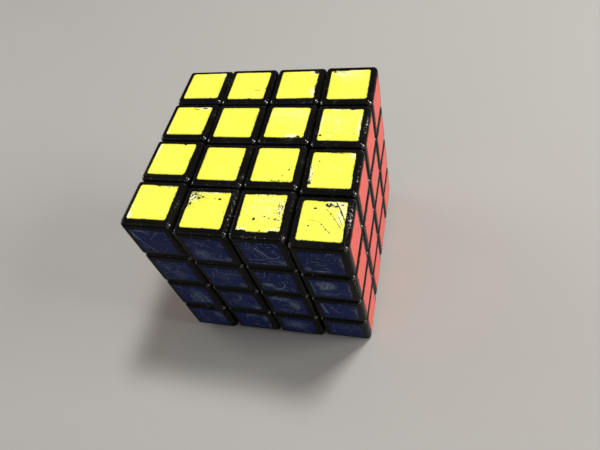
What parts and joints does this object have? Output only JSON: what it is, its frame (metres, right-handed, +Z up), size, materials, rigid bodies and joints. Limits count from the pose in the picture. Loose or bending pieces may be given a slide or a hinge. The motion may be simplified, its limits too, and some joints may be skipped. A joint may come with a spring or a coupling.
{
  "type": "twisty cube puzzle",
  "caption": "Stickered black plastic twisty cube puzzle whose layers turn on a hidden grooved ball core.",
  "frame": {"origin": "centre of the cube, where its turning axes meet, at the centre of the ball core", "axes": "+Z up, out of the yellow face of the middle columns; -Y out of the blue front face; +X out of the red right face, along the axis that the columns turn about"},
  "size_m": [0.0652, 0.0672, 0.0672],
  "materials": {
    "black_plastic": "gloss, lightly scuffed along the edges",
    "core_grey": "plain moulded",
    "screw_steel": "plated",
    "yellow_vinyl": "thin satin vinyl sticker, worn and scratched",
    "white_vinyl": "thin satin vinyl sticker, worn and scratched",
    "blue_vinyl": "thin satin vinyl sticker, worn and scratched",
    "green_vinyl": "thin satin vinyl sticker, worn and scratched",
    "red_vinyl": "thin satin vinyl sticker, worn and scratched",
    "orange_vinyl": "thin satin vinyl sticker, worn and scratched"
  },
  "bodies": {
    "mid_left_column": {"edge_mid_left_top_front": "black_plastic", "edge_mid_left_top_back": "black_plastic", "edge_mid_left_bottom_front": "black_plastic", "edge_mid_left_bottom_back": "black_plastic", "centres_mid_left_top": "black_plastic", "centres_mid_left_bottom": "black_plastic", "centres_mid_left_front": "black_plastic", "centres_mid_left_back": "black_plastic", "core_hub": "core_grey", "core_caps": "core_grey", "core_screws": "screw_steel", "stickers_mid_left_yellow": "yellow_vinyl", "stickers_mid_left_blue": "blue_vinyl", "stickers_mid_left_white": "white_vinyl", "stickers_mid_left_green": "green_vinyl"},
    "left_column": {"corner_left_top_front": "black_plastic", "corner_left_top_back": "black_plastic", "corner_left_bottom_front": "black_plastic", "corner_left_bottom_back": "black_plastic", "edges_left_top": "black_plastic", "edges_left_bottom": "black_plastic", "edges_left_front": "black_plastic", "edges_left_back": "black_plastic", "centres_left": "black_plastic", "stickers_left_orange": "orange_vinyl", "stickers_left_yellow": "yellow_vinyl", "stickers_left_blue": "blue_vinyl", "stickers_left_white": "white_vinyl", "stickers_left_green": "green_vinyl"},
    "mid_right_column": {"edge_mid_right_top_front": "black_plastic", "edge_mid_right_top_back": "black_plastic", "edge_mid_right_bottom_front": "black_plastic", "edge_mid_right_bottom_back": "black_plastic", "centres_mid_right_top": "black_plastic", "centres_mid_right_bottom": "black_plastic", "centres_mid_right_front": "black_plastic", "centres_mid_right_back": "black_plastic", "stickers_mid_right_yellow": "yellow_vinyl", "stickers_mid_right_blue": "blue_vinyl", "stickers_mid_right_white": "white_vinyl", "stickers_mid_right_green": "green_vinyl"},
    "right_column": {"corner_right_top_front": "black_plastic", "corner_right_top_back": "black_plastic", "corner_right_bottom_front": "black_plastic", "corner_right_bottom_back": "black_plastic", "edges_right_top": "black_plastic", "edges_right_bottom": "black_plastic", "edges_right_front": "black_plastic", "edges_right_back": "black_plastic", "centres_right": "black_plastic", "stickers_right_red": "red_vinyl", "stickers_right_yellow": "yellow_vinyl", "stickers_right_blue": "blue_vinyl", "stickers_right_white": "white_vinyl", "stickers_right_green": "green_vinyl"}
  },
  "joints": [
    {"name": "left_face_turn", "type": "hinge", "parent": "mid_left_column", "child": "left_column", "pos_m": [-0.016, 0, 0], "axis": [1, 0, 0], "continuous": true},
    {"name": "halves_turn", "type": "hinge", "parent": "mid_left_column", "child": "mid_right_column", "pos_m": [0, 0, 0], "axis": [1, 0, 0], "continuous": true},
    {"name": "right_face_turn", "type": "hinge", "parent": "mid_right_column", "child": "right_column", "pos_m": [0.016, 0, 0], "axis": [1, 0, 0], "continuous": true}
  ]
}
